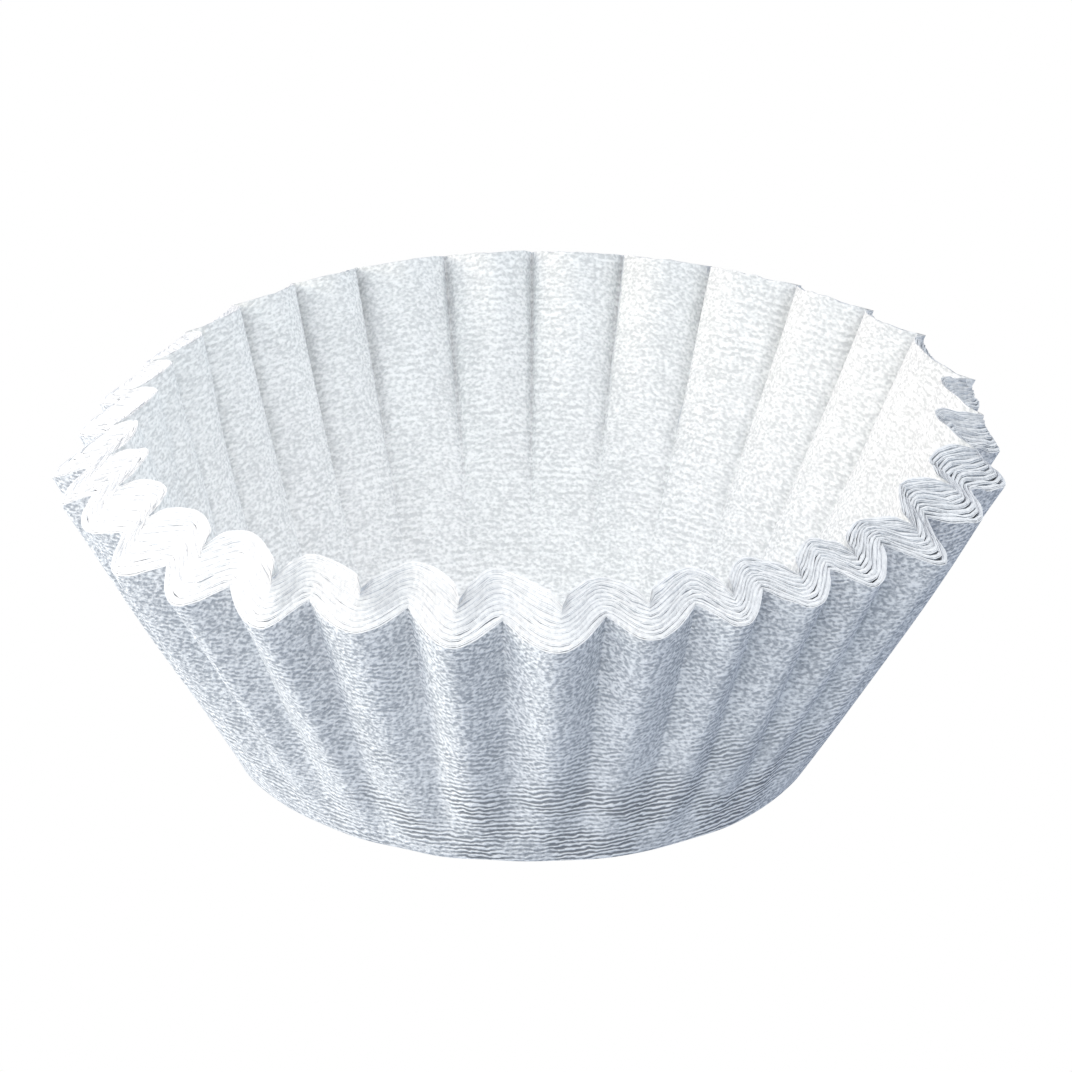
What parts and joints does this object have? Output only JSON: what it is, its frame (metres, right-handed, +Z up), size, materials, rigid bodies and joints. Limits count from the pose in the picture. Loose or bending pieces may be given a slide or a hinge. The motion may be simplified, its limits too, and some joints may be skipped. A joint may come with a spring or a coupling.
{
  "type": "stack of paper coffee filters",
  "caption": "Nest of white crepe-paper basket coffee filters with a flat base, a fluted flared wall and a thick layered rim, open at the top.",
  "frame": {"origin": "centre of the flat base, on the surface that the nest stands on", "axes": "+Z up along the cup's axis, out of its open top; -Y towards the viewer of the reference view"},
  "size_m": [0.1827, 0.183, 0.0734],
  "materials": {
    "white_crepe_paper": "matt, fine crepe ridges running round the cup"
  },
  "bodies": {
    "root": {"filter_stack": "white_crepe_paper"}
  },
  "joints": []
}
